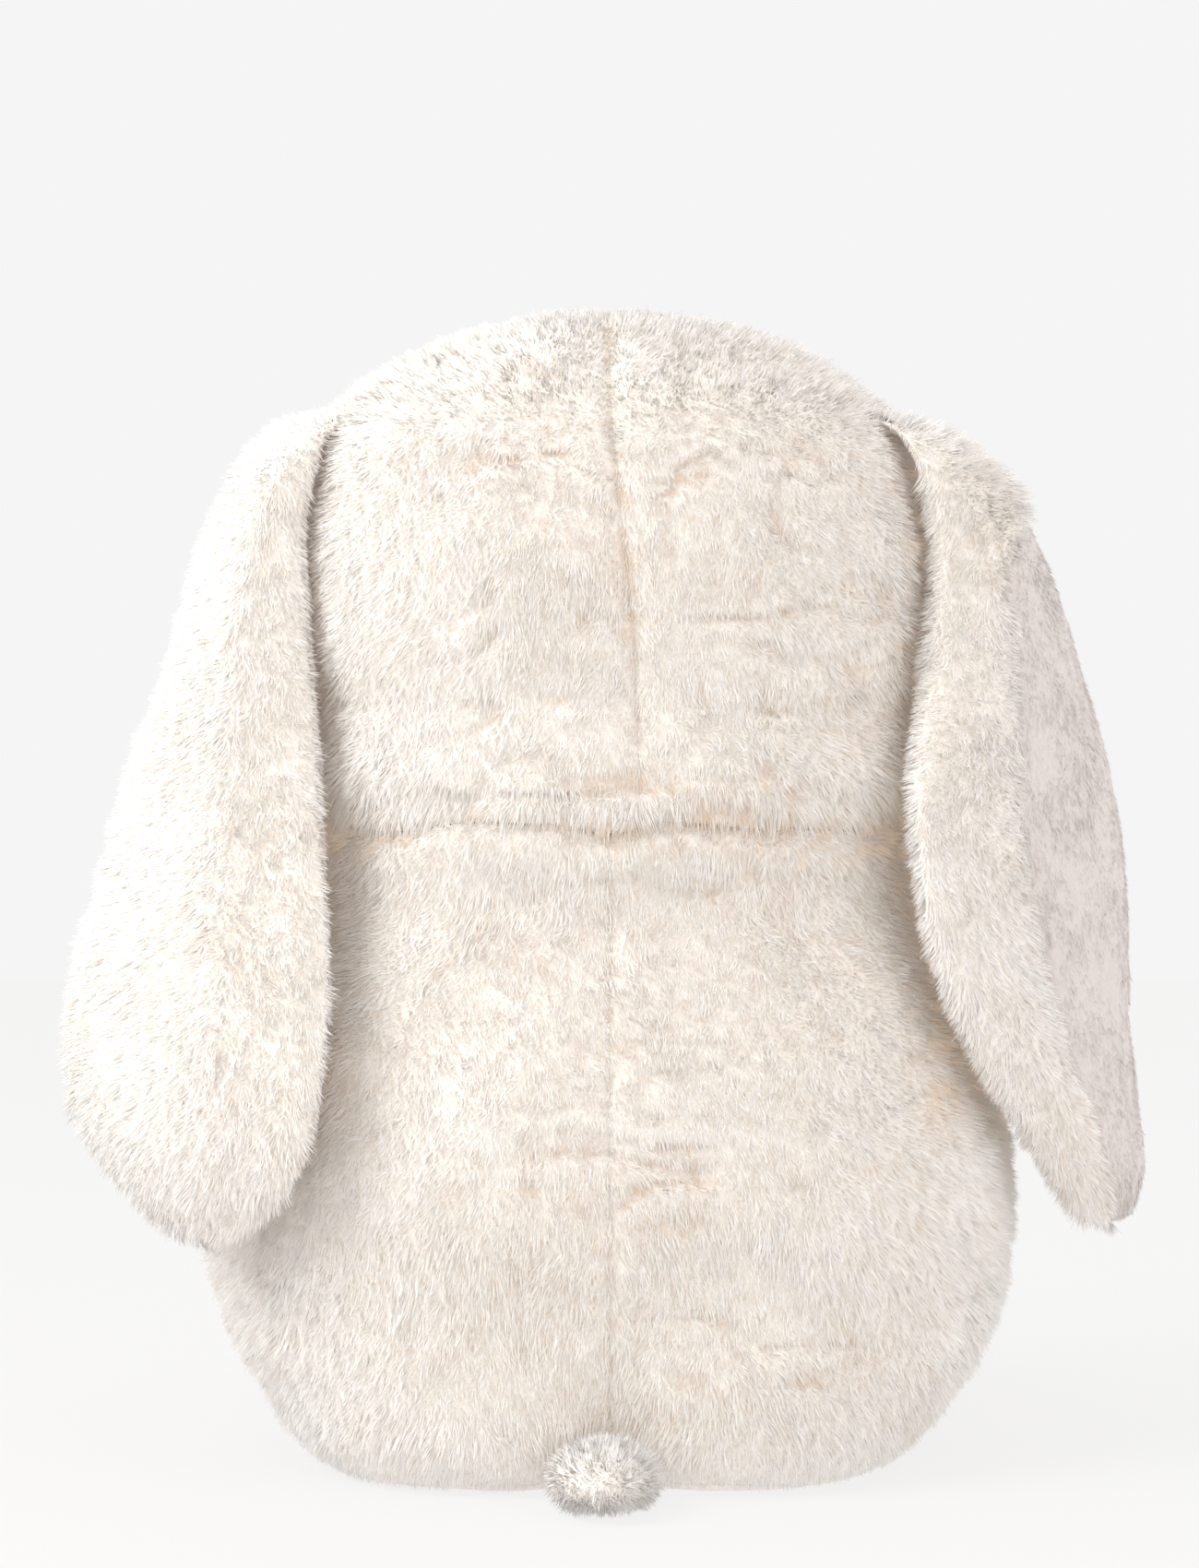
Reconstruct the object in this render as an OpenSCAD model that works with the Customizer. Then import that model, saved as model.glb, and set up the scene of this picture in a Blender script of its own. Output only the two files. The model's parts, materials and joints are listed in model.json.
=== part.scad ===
// Sitting plush rabbit with hanging ears, sewn from fur panels and filled with fibre.
// +Z is up, the toy sits on z = 0 and faces -Y, and its own left side is +X.

/* [Torso] */
// Half width of the torso at its widest
torso_half_width = 124; // [110:1:134]
// Height of the neck seam above the floor
neck_height = 184; // [170:1:196]
// Depth of torso and head as a share of their width
depth_share = 0.87; // [0.84:0.01:0.92]
// Thickness of the fur fabric, backing and pile together
fur_thickness = 6; // [4:0.5:8]

/* [Head] */
// Half width of the head at its widest
head_half_width = 101; // [92:1:106]
// Height of the head above the neck seam
head_height = 161; // [150:1:170]
// Diameter of each eye
eye_diameter = 13; // [9:1:16]
// Sideways distance of each eye from the middle
eye_offset = 47; // [38:1:56]

/* [Ears] */
// Half width of an ear at its broadest
ear_half_width = 50; // [40:1:54]
// Half thickness of an ear at its plumpest
ear_half_thickness = 14; // [10:1:16]
// Turn of the left ear's flat side away from straight back, in degrees
left_ear_turn = 36; // [30:1:44]
// Turn of the right ear's flat side away from straight back, in degrees
right_ear_turn = 46; // [40:1:52]

/* [Limbs and tail] */
// Radius of an arm at the paw
paw_radius = 22; // [18:1:24]
// Radius of a leg at the foot
foot_radius = 33; // [28:1:35]
// Length of the tail
tail_length = 47; // [40:1:50]

/* [Hidden] */

fur_color = [0.95, 0.92, 0.87];
lining_color = [0.93, 0.84, 0.80];
fibre_color = [0.97, 0.97, 0.96];
thread_color = [0.80, 0.60, 0.56];
eye_color = [0.10, 0.06, 0.05];
pellet_color = [0.82, 0.84, 0.86];

seam_gap = 0.3;      // between neighbouring pieces of one body
side_wrap = 12;      // degrees that the back panels reach past the sides
spline_steps = 5;    // steps between two outline points
LEFT = 1;
RIGHT = -1;

// Torso outline from the base seam to the neck seam, [share of half width, share of neck height].
torso_shares = [
    [0.725, 0.004], [0.785, 0.036], [0.855, 0.100], [0.940, 0.205], [0.990, 0.330], [0.990, 0.490],
    [0.930, 0.640], [0.850, 0.780], [0.790, 0.890], [0.752, 0.962], [0.720, 0.992]
];
// Head outline from the neck opening to the crown, [share of half width, share of head height].
head_shares = [
    [0.884, 0.090], [0.938, 0.130], [0.972, 0.240], [1.000, 0.400], [0.997, 0.540], [0.945, 0.700],
    [0.860, 0.790], [0.715, 0.860], [0.560, 0.920], [0.360, 0.965], [0.160, 0.992], [0.000, 1.000]
];

function spline_point(a, b, c, d, t) =
    0.5 * (2 * b + (c - a) * t + (2 * a - 5 * b + 4 * c - d) * t * t + (3 * b - a - 3 * c + d) * t * t * t);

// Smooth curve through the given points, which may hold any number of values each.
function spline(points, steps = spline_steps) =
    let (last = len(points) - 1)
    concat(
        [for (i = [0:last - 1], k = [0:steps - 1])
            spline_point(points[max(i - 1, 0)], points[i], points[i + 1],
                         points[min(i + 2, last)], k / steps)],
        [points[last]]
    );

function reversed(list) = [for (i = [len(list) - 1:-1:0]) list[i]];

function torso_curve() =
    spline([for (p = torso_shares) [p[0] * torso_half_width, p[1] * neck_height]]);

function head_curve() =
    [for (p = spline([for (q = head_shares) [q[0] * head_half_width, neck_height + q[1] * head_height]]))
        [max(p[0], 0), p[1]]];

// The same outline moved inwards by t, towards the axis and towards mid height.
function inset(curve, t) =
    let (low = curve[0][1], high = curve[len(curve) - 1][1], middle = (low + high) / 2)
    [for (p = curve) [max(p[0] - t, 0), middle + (p[1] - middle) * (high - low - 2 * t) / (high - low)]];

module squeezed() {
    scale([1, depth_share, 1]) children();
}

// A panel between an outline and its inset, swept from one azimuth to another.
module swept_panel(curve, from, to) {
    squeezed()
        rotate_extrude(start = from, angle = to - from, $fn = 72)
            polygon(concat(curve, reversed(inset(curve, fur_thickness))));
}

module swept_solid(points) {
    for (from = [0, 180])
        squeezed() rotate_extrude(start = from, angle = 180, $fn = 72) polygon(points);
}

// ---------------------------------------------------------------- torso
panel_split = asin(seam_gap / torso_half_width);

module back_panel_left() {
    color(fur_color) swept_panel(torso_curve(), -side_wrap, 90 - panel_split);
}

module back_panel_right() {
    color(fur_color) swept_panel(torso_curve(), 90 + panel_split, 180 + side_wrap);
}

module belly_panel() {
    color(fur_color)
        swept_panel(torso_curve(), 180 + side_wrap + 2 * panel_split, 360 - side_wrap - 2 * panel_split);
}

base_half_width = torso_shares[0][0] * torso_half_width - fur_thickness - seam_gap;
base_thickness = 4;
bag_height = 24;

module ellipse_plate(half_width, thickness) {
    linear_extrude(height = thickness)
        polygon([for (a = [0:5:355]) [half_width * cos(a), half_width * depth_share * sin(a)]]);
}

module base_panel() {
    color(fur_color) ellipse_plate(base_half_width, base_thickness);
}

module pellet_bag() {
    bag_radius = base_half_width - 8;
    bottom = base_thickness + seam_gap;
    color(pellet_color)
        swept_solid([
            [0, bottom], [bag_radius - 8, bottom], [bag_radius, bottom + 8],
            [bag_radius, bottom + bag_height - 8],
            [bag_radius - 8, bottom + bag_height], [0, bottom + bag_height]
        ]);
}

module body_stuffing() {
    inner = inset(torso_curve(), fur_thickness + seam_gap);
    floor_z = base_thickness + bag_height + 2 * seam_gap;
    top = inner[len(inner) - 1];
    color(fibre_color)
        swept_solid(concat(
            [[0, floor_z]],
            [for (p = inner) if (p[1] > floor_z) p],
            [[0, top[1]]]
        ));
}

// ---------------------------------------------------------------- neck
neck_radius = torso_shares[len(torso_shares) - 1][0] * torso_half_width;
neck_rim = 3;
neck_crown = 9;

// Low dome of filling, so that the head can nod on it.
module neck_stuffing() {
    color(fibre_color)
        swept_solid([
            [0, neck_height + seam_gap], [neck_radius - 8, neck_height + seam_gap],
            [neck_radius - 6, neck_height + neck_rim], [neck_radius * 0.6, neck_height + neck_crown * 0.75],
            [neck_radius * 0.25, neck_height + neck_crown], [0, neck_height + neck_crown]
        ]);
}

// ---------------------------------------------------------------- head
module head_panel_left() {
    color(fur_color) swept_panel(head_curve(), -side_wrap, 90 - panel_split);
}

module head_panel_right() {
    color(fur_color) swept_panel(head_curve(), 90 + panel_split, 180 + side_wrap);
}

head_depth = head_half_width * depth_share;
eye_height = neck_height + head_height * 0.46;
eye_front = head_depth * sqrt(1 - pow(eye_offset / head_half_width, 2));
eye_yaw = atan2(eye_offset / pow(head_half_width, 2), eye_front / pow(head_depth, 2));
shank_radius = 2.25;
eye_lift = 1.2;      // of the dome's flat back over the fur at the eye's middle
washer_radius = 8;
washer_thickness = 1.5;
muzzle_radius = 33;
muzzle_height = neck_height + head_height * 0.32;
muzzle_bulge = 14;

// Places children on the face surface at an eye, with +Z pointing out of the face.
module at_eye(side) {
    translate([side * eye_offset, -eye_front, eye_height]) rotate([90, 0, side * eye_yaw]) children();
}

// Places children at the muzzle's middle, with +Z pointing forwards.
module at_muzzle() {
    translate([0, -head_depth, muzzle_height]) rotate([90, 0, 0]) children();
}

module face_panel() {
    color(fur_color)
        difference() {
            swept_panel(head_curve(), 180 + side_wrap + 2 * panel_split, 360 - side_wrap - 2 * panel_split);
            for (side = [LEFT, RIGHT])
                at_eye(side) translate([0, 0, -12]) cylinder(r = shank_radius + 0.2, h = 24, $fn = 32);
            at_muzzle() translate([0, 0, -30]) cylinder(r = muzzle_radius + seam_gap, h = 50, $fn = 64);
        }
}

muzzle_sink = 14;

// Round cap that stands proud of the face, with a hollow behind it for filling.
module muzzle_panel() {
    wall = fur_thickness - 1;
    color(fur_color)
        at_muzzle() rotate_extrude($fn = 64)
            polygon(concat(
                [for (a = [0:10:90]) [muzzle_radius * cos(a), muzzle_bulge * sin(a)]],
                [for (a = [90:-10:0]) [(muzzle_radius - wall) * cos(a), (muzzle_bulge - wall) * sin(a)]],
                [[muzzle_radius - wall, -muzzle_sink], [muzzle_radius, -muzzle_sink]]
            ));
}

module head_stuffing() {
    inner = inset(head_curve(), fur_thickness + seam_gap);
    color(fibre_color)
        difference() {
            swept_solid(concat([[0, inner[0][1]]], inner));
            for (side = [LEFT, RIGHT])
                at_eye(side) translate([0, 0, -14]) cylinder(r = washer_radius + seam_gap, h = 30, $fn = 32);
            at_muzzle() translate([0, 0, -muzzle_sink - seam_gap])
                cylinder(r = muzzle_radius + 2 * seam_gap, h = 50, $fn = 64);
        }
}

// Domed plastic eye with its shank, which goes through the fur.
module eye(side) {
    dome = eye_diameter / 2;
    color(eye_color)
        at_eye(side) rotate_extrude($fn = 48)
            polygon(concat(
                [[0, -11], [shank_radius, -11], [shank_radius, eye_lift], [dome, eye_lift]],
                [for (a = [0:15:90]) [dome * cos(a), eye_lift + 0.8 + (dome - 2.5) * sin(a)]]
            ));
}

module eye_washer(side) {
    color(fibre_color)
        at_eye(side) translate([0, 0, -fur_thickness - 3.5])
            difference() {
                cylinder(r = washer_radius, h = washer_thickness, $fn = 48);
                translate([0, 0, -1]) cylinder(r = shank_radius + 0.05, h = washer_thickness + 2, $fn = 48);
            }
}

module eye_left() { eye(LEFT); }
module eye_right() { eye(RIGHT); }
module eye_washer_left() { eye_washer(LEFT); }
module eye_washer_right() { eye_washer(RIGHT); }

nose_half_width = 8;
nose_lift = 7;

// Small rounded triangle of satin stitch at the front of the muzzle.
module nose_stitching() {
    color(thread_color)
        at_muzzle() translate([0, nose_lift, muzzle_bulge + seam_gap - 0.2])
            linear_extrude(height = 2.5)
                polygon([
                    [-nose_half_width, 3.5], [-nose_half_width + 2, 5], [nose_half_width - 2, 5],
                    [nose_half_width, 3.5], [1.5, -4], [-1.5, -4]
                ]);
}

// One upright stitch under the nose and two that slope away from it.
module mouth_stitching() {
    color(thread_color)
        at_muzzle() translate([0, 0, muzzle_bulge + seam_gap - 0.2])
            linear_extrude(height = 1.2)
                union() {
                    translate([-0.7, -5]) square([1.4, 7.6]);
                    for (side = [LEFT, RIGHT])
                        polygon([[0, -5.5], [side * 8, -9], [side * 8.4, -7.8], [0, -4]]);
                }
}

// ---------------------------------------------------------------- ears
// Sections down an ear: [distance out, distance back, height, width share, thickness share].
left_ear_sections = [
    [89, 44, 304, 0.24, 0.48], [98, 47, 289, 0.31, 0.72], [107, 50, 268, 0.39, 0.88],
    [112, 55, 228, 0.58, 1.00], [116, 60, 184, 0.80, 1.00], [121, 68, 140, 1.00, 1.00],
    [121, 76, 104, 0.90, 0.92], [118, 80, 84, 0.64, 0.75], [116, 82, 69, 0.26, 0.42]
];
right_ear_sections = [
    [90, 41, 304, 0.24, 0.48], [104, 42, 290, 0.38, 0.72], [116, 45, 268, 0.48, 0.88],
    [121, 47, 232, 0.72, 1.00], [121, 48, 190, 0.96, 1.00], [125, 46, 150, 0.90, 1.00],
    [132, 43, 122, 0.74, 0.97], [139, 40, 100, 0.58, 0.90], [144, 38, 84, 0.44, 0.78],
    [147, 36, 70, 0.26, 0.42]
];
ear_steps = 3;
arc_step = 15;

function ear_spline(side) = spline(side == LEFT ? left_ear_sections : right_ear_sections, ear_steps);

// Point of an ear section at angle a; 0 is the front edge and 90 the outer face.
function ear_point(side, s, a, half_width, half_thickness) =
    let (turn = side == LEFT ? left_ear_turn : right_ear_turn,
         along = half_width * cos(a),
         across = half_thickness * sin(a))
    [side * (s[0] + along * cos(turn) + across * sin(turn)),
     s[1] - along * sin(turn) + across * cos(turn), s[2]];

function ear_skin(s) = [s[3] * ear_half_width, s[4] * ear_half_thickness];
function ear_core(s) = [max(ear_skin(s)[0] - fur_thickness, ear_skin(s)[0] * 0.6), ear_skin(s)[1] * 0.6];

// One half of an ear's shell at section s, between angles from and to.
function half_ring(side, s, from, to) = concat(
    [for (a = [from:arc_step:to]) ear_point(side, s, a, ear_skin(s)[0], ear_skin(s)[1])],
    [for (a = [to:-arc_step:from]) ear_point(side, s, a, ear_core(s)[0], ear_core(s)[1])]
);

function core_ring(side, s) =
    [for (a = [0:arc_step:360 - arc_step])
        ear_point(side, s, a, ear_core(s)[0] - seam_gap, ear_core(s)[1] - seam_gap)];

// Closed solid through a list of rings that all have the same number of points.
module lofted(rings, flip) {
    n = len(rings[0]);
    last = len(rings) - 1;
    sides = [for (i = [0:last - 1], k = [0:n - 1])
        [i * n + k, i * n + (k + 1) % n, (i + 1) * n + (k + 1) % n, (i + 1) * n + k]];
    top = [for (k = [n - 1:-1:0]) k];
    bottom = [for (k = [0:n - 1]) last * n + k];
    faces = concat(sides, [top], [bottom]);
    polyhedron(points = [for (r = rings) each r], faces = flip ? [for (f = faces) reversed(f)] : faces,
               convexity = 6);
}

module ear_outer(side) {
    color(fur_color) lofted([for (s = ear_spline(side)) half_ring(side, s, 0, 180)], side == RIGHT);
}

// The lining sits a seam gap away from the outer piece.
module ear_lining(side) {
    turn = side == LEFT ? left_ear_turn : right_ear_turn;
    color(lining_color)
        translate([-side * seam_gap * sin(turn), -seam_gap * cos(turn), 0])
            lofted([for (s = ear_spline(side)) half_ring(side, s, 180, 360)], side == RIGHT);
}

module ear_wadding(side) {
    sections = ear_spline(side);
    inner = [for (i = [1:len(sections) - 2]) sections[i]];
    color(fibre_color) lofted([for (s = inner) core_ring(side, s)], side == RIGHT);
}

module ear_outer_left() { ear_outer(LEFT); }
module ear_outer_right() { ear_outer(RIGHT); }
module ear_lining_left() { ear_lining(LEFT); }
module ear_lining_right() { ear_lining(RIGHT); }
module ear_wadding_left() { ear_wadding(LEFT); }
module ear_wadding_right() { ear_wadding(RIGHT); }

// ---------------------------------------------------------------- arms
shoulder = [90, -71, 160];
paw = [73, -117, 104];
shoulder_radius = 19;

// Turns +Z to the given direction.
module along(direction) {
    flat = norm([direction[0], direction[1]]);
    rotate([0, atan2(flat, direction[2]), atan2(direction[1], direction[0])]) children();
}

// Outline of a sausage with round ends: the first at z = 0, the second at z = length.
function sausage(r0, r1, length, less = 0) = concat(
    [for (a = [-90:15:0]) [(r0 - less) * cos(a), (r0 - less) * sin(a)]],
    [for (a = [0:15:90]) [(r1 - less) * cos(a), length + (r1 - less) * sin(a)]]
);

module at_arm(side) {
    reach = paw - shoulder;
    translate([side * shoulder[0], shoulder[1], shoulder[2]])
        along([side * reach[0], reach[1], reach[2]]) children();
}

module arm_half(side, from) {
    length = norm(paw - shoulder);
    color(fur_color)
        at_arm(side) rotate([0, 0, side * 90 + from]) translate([0, seam_gap / 2, 0])
            rotate_extrude(angle = 180, $fn = 48)
                polygon(concat(
                    sausage(shoulder_radius, paw_radius, length),
                    reversed(sausage(shoulder_radius, paw_radius, length, fur_thickness))
                ));
}

module arm_stuffing(side) {
    color(fibre_color)
        at_arm(side) rotate_extrude($fn = 48)
            polygon(sausage(shoulder_radius, paw_radius, norm(paw - shoulder), fur_thickness + seam_gap));
}

module arm_outer_left() { arm_half(LEFT, 0); }
module arm_outer_right() { arm_half(RIGHT, 0); }
module arm_inner_left() { arm_half(LEFT, 180); }
module arm_inner_right() { arm_half(RIGHT, 180); }
module arm_stuffing_left() { arm_stuffing(LEFT); }
module arm_stuffing_right() { arm_stuffing(RIGHT); }

// ---------------------------------------------------------------- legs
hip = [72, -112, 29.5];
foot = [77, -150, 34.5];
hip_radius = 28.5;
sole_step = 7;       // how far the foot's rim stands in front of its widest ring

module at_leg(side) {
    reach = foot - hip;
    translate([side * hip[0], hip[1], hip[2]])
        along([side * reach[0], reach[1], reach[2]]) children();
}

// Leg outline from the round hip end to the flat front of the foot.
function leg_outline(less) =
    let (length = norm(foot - hip))
    concat(
        [for (a = [-90:15:0]) [(hip_radius - less) * cos(a), (hip_radius - less) * sin(a)]],
        [[foot_radius - less, length - 4], [foot_radius - less, length],
         [foot_radius - less - 2, length + sole_step - 2], [foot_radius - less - 5, length + sole_step]]
    );

module leg_panel(side) {
    color(fur_color)
        at_leg(side) rotate_extrude($fn = 64)
            polygon(concat(leg_outline(0), reversed(leg_outline(fur_thickness))));
}

module foot_pad(side) {
    pad_radius = foot_radius - fur_thickness - 5 - seam_gap;
    color(lining_color)
        at_leg(side) translate([0, 0, norm(foot - hip) + sole_step - 3])
            cylinder(r = pad_radius, h = 3, $fn = 64);
}

module leg_stuffing(side) {
    outline = leg_outline(fur_thickness + seam_gap);
    length = norm(foot - hip);
    color(fibre_color)
        at_leg(side) rotate_extrude($fn = 64)
            polygon(concat([for (p = outline) if (p[1] < length) p],
                           [[foot_radius - fur_thickness - seam_gap - 5, length + 3], [0, length + 3]]));
}

module leg_panel_left() { leg_panel(LEFT); }
module leg_panel_right() { leg_panel(RIGHT); }
module foot_pad_left() { foot_pad(LEFT); }
module foot_pad_right() { foot_pad(RIGHT); }
module leg_stuffing_left() { leg_stuffing(LEFT); }
module leg_stuffing_right() { leg_stuffing(RIGHT); }

// ---------------------------------------------------------------- tail
tail_root = 99;
tail_side = 2;
tail_radius = 13;
tail_floor = 0.6;

// Teardrop outline along the tail, [radius, distance from the root], for a surface this far inside.
function tail_outline(less) = [
    for (a = [-66, -50, -30, -10, 10, 30, 50, 66, 76])
        let (radius = tail_radius * cos(a) * (1 - 0.1 * sin(a)))
        [radius - min(less, radius * 0.45), tail_length * (1 + sin(a)) / 2]
];

// The tail lies on the floor and points backwards.
module at_tail() {
    translate([tail_side, tail_root, tail_floor + tail_radius]) rotate([-90, 0, 0]) children();
}

module tail_half(from) {
    color(fur_color)
        at_tail() rotate([0, 0, from]) translate([0, seam_gap / 2, 0])
            rotate_extrude(angle = 180, $fn = 48)
                polygon(concat(tail_outline(0), reversed(tail_outline(fur_thickness))));
}

module tail_upper() { tail_half(180); }
module tail_lower() { tail_half(0); }

module tail_stuffing() {
    outline = tail_outline(fur_thickness + 2 * seam_gap);
    color(fibre_color)
        at_tail() rotate_extrude($fn = 48)
            polygon([[0, outline[1][1]], for (i = [1:len(outline) - 2]) outline[i],
                     [0, outline[len(outline) - 2][1]]]);
}

back_panel_left();
back_panel_right();
belly_panel();
base_panel();
body_stuffing();
pellet_bag();
neck_stuffing();
head_panel_left();
head_panel_right();
face_panel();
muzzle_panel();
head_stuffing();
eye_left();
eye_right();
eye_washer_left();
eye_washer_right();
nose_stitching();
mouth_stitching();
ear_outer_left();
ear_lining_left();
ear_wadding_left();
ear_outer_right();
ear_lining_right();
ear_wadding_right();
arm_outer_left();
arm_inner_left();
arm_stuffing_left();
arm_outer_right();
arm_inner_right();
arm_stuffing_right();
leg_panel_left();
foot_pad_left();
leg_stuffing_left();
leg_panel_right();
foot_pad_right();
leg_stuffing_right();
tail_upper();
tail_lower();
tail_stuffing();
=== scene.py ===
"""Sitting plush rabbit: fur fabric sewn from panels, with its pile, filling, eyes and stitching."""
import json
import math

import bmesh
import bpy
import numpy as np
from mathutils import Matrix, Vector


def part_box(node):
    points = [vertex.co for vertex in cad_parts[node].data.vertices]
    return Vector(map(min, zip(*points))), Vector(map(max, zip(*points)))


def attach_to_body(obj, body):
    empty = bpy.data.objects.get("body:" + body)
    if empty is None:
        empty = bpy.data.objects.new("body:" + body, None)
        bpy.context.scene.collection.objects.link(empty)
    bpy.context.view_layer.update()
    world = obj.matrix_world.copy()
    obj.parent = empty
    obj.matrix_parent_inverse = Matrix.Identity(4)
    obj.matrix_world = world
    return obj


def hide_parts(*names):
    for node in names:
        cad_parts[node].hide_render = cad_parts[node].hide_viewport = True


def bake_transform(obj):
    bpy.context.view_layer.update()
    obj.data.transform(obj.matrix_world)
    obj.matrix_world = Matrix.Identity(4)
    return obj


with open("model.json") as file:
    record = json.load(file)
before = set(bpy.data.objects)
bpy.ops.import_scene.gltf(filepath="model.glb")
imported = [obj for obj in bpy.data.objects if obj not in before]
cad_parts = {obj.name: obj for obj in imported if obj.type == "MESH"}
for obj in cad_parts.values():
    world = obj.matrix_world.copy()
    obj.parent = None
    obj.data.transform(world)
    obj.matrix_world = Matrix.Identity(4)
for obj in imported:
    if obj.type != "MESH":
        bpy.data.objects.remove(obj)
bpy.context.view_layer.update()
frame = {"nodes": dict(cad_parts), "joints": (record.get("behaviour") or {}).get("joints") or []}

MM = 0.001
LEFT, RIGHT = 1, -1
SIDES = {"left": LEFT, "right": RIGHT}

# ---------------- sizes taken from the frame
joints = {j["name"]: j for j in frame["joints"]}


def pivot(name):
    return np.array(joints[name]["pos_m"], float)


def corners(node):
    low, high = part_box(node)
    return np.array(low), np.array(high)


TORSO_HALF = corners("back_panel_left")[1][0]
DEPTH = corners("back_panel_left")[1][1] / TORSO_HALF     # front to back as a share of the width
NECK = pivot("head_turn")[2]
HEAD_HALF = corners("head_panel_left")[1][0]
CROWN = corners("head_panel_left")[1][2]
HEAD_HEIGHT = CROWN - NECK
PILE_ROOM = 3.6 * MM        # how far the underfur lies inside the CAD surface, which is the pile's outside
FABRIC = 2.6 * MM           # thickness of the knitted backing with its dense underfur

# Outlines as in the CAD: [share of half width, share of height].
TORSO_SHARES = [
    [0.725, 0.004], [0.785, 0.036], [0.855, 0.100], [0.940, 0.205], [0.990, 0.330], [0.990, 0.490],
    [0.930, 0.640], [0.850, 0.780], [0.790, 0.890], [0.752, 0.962], [0.720, 0.992],
]
HEAD_SHARES = [
    [0.884, 0.090], [0.938, 0.130], [0.972, 0.240], [1.000, 0.400], [0.997, 0.540], [0.945, 0.700],
    [0.860, 0.790], [0.715, 0.860], [0.560, 0.920], [0.360, 0.965], [0.160, 0.992], [0.000, 1.000],
]


# ---------------- curves, grids and noise
def unit(v):
    return v / np.maximum(np.linalg.norm(v, axis=-1, keepdims=True), 1e-12)


def smooth(x, low, high):
    t = np.clip((x - low) / (high - low), 0, 1)
    return t * t * (3 - 2 * t)


def bell(x, width):
    return np.exp(-((x / width) ** 2))


def spline(points, steps=8):
    """Smooth curve through the points, the one that the CAD uses."""
    p = np.asarray(points, float)
    last = len(p) - 1
    t = (np.arange(steps) / steps)[:, None]
    runs = []
    for i in range(last):
        a, b, c, d = p[max(i - 1, 0)], p[i], p[i + 1], p[min(i + 2, last)]
        runs.append(0.5 * (2 * b + (c - a) * t + (2 * a - 5 * b + 4 * c - d) * t**2
                           + (3 * b - a - 3 * c + d) * t**3))
    return np.concatenate(runs + [p[-1:]])


def even(curve, count):
    """Count points at even distances along the curve."""
    run = np.concatenate([[0], np.cumsum(np.linalg.norm(np.diff(curve, axis=0), axis=1))])
    at = np.linspace(0, run[-1], count)
    return np.stack([np.interp(at, run, curve[:, k]) for k in range(curve.shape[1])], 1)


def inset(profile, distance):
    """A (radius, height) outline that runs upwards, moved inwards by the distance."""
    step = unit(np.gradient(profile, axis=0))
    outward = np.stack([step[:, 1], -step[:, 0]], 1)
    return profile - outward * np.reshape(distance, (-1, 1))


def normals(p, closed):
    """Outward unit normals of a grid of points. Rows that shrink to a point share one normal."""
    across = np.roll(p, -1, 1) - np.roll(p, 1, 1) if closed else np.gradient(p, axis=1)
    n = unit(np.cross(across, np.gradient(p, axis=0)))
    for row, beside in ((0, 1), (-1, -2)):
        if is_point(p[row]):
            n[row] = unit(n[beside].mean(0))
    middle = p.mean((0, 1))
    return n if np.sum(n * (p - middle)) > 0 else -n


def is_point(ring):
    return np.ptp(ring, axis=0).max() < 1e-6


class Noise:
    """Smooth random values between -1 and 1 through space, which repeat after 32 cells."""
    CELLS = 32

    def __init__(self, seed, channels):
        shape = (self.CELLS,) * 3 + (channels,)
        self.table = np.random.default_rng(seed).uniform(-1, 1, shape)

    def __call__(self, points, cell):
        q = points / cell
        base = np.floor(q).astype(int)
        f = q - base
        f = f * f * (3 - 2 * f)
        total = 0
        for corner in np.ndindex(2, 2, 2):
            i = (base + corner) % self.CELLS
            share = np.prod(np.where(corner, f, 1 - f), axis=-1, keepdims=True)
            total = total + self.table[i[..., 0], i[..., 1], i[..., 2]] * share
        return total


vector_noise = Noise(11, 3)
lumps = Noise(23, 1)


# ---------------- materials
def new_material(name, roughness, sheen=0.0):
    m = bpy.data.materials.new(name)
    m.use_nodes = True
    shader = m.node_tree.nodes["Principled BSDF"]
    shader.inputs["Roughness"].default_value = roughness
    shader.inputs["Sheen Weight"].default_value = sheen
    return m, m.node_tree, shader


def node(tree, kind, **values):
    """New shader node. A value sets the input of that name, or the node's own property."""
    n = tree.nodes.new(kind)
    for key, value in values.items():
        label = key.replace("_", " ")
        if label in n.inputs:
            n.inputs[label].default_value = value
        else:
            setattr(n, key, value)
    return n


def object_space(tree):
    return node(tree, "ShaderNodeTexCoord").outputs["Object"]


def two_tones(tree, factor, low, high, start=0.3, end=0.7):
    ramp = node(tree, "ShaderNodeValToRGB")
    ramp.color_ramp.elements[0].position, ramp.color_ramp.elements[0].color = start, (*low, 1)
    ramp.color_ramp.elements[1].position, ramp.color_ramp.elements[1].color = end, (*high, 1)
    tree.links.new(factor, ramp.inputs["Fac"])
    return ramp.outputs["Color"]


def bumped(tree, shader, height, strength, distance):
    bump = node(tree, "ShaderNodeBump", Strength=strength, Distance=distance)
    tree.links.new(height, bump.inputs["Height"])
    tree.links.new(bump.outputs["Normal"], shader.inputs["Normal"])


def speckled(name, low, high, patch, grain, roughness, sheen=0.0):
    """Matt material in two tones, with broad patches in its colour and a fine grain in its relief."""
    m, tree, shader = new_material(name, roughness, sheen)
    place = object_space(tree)
    broad = node(tree, "ShaderNodeTexNoise", Scale=1 / patch, Detail=4.0, Roughness=0.6)
    fine = node(tree, "ShaderNodeTexNoise", Scale=1 / grain, Detail=3.0, Roughness=0.7)
    for texture in (broad, fine):
        tree.links.new(place, texture.inputs["Vector"])
    tree.links.new(two_tones(tree, broad.outputs["Fac"], low, high), shader.inputs["Base Color"])
    bumped(tree, shader, fine.outputs["Fac"], 0.6, 0.5 * MM)
    return m


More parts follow.
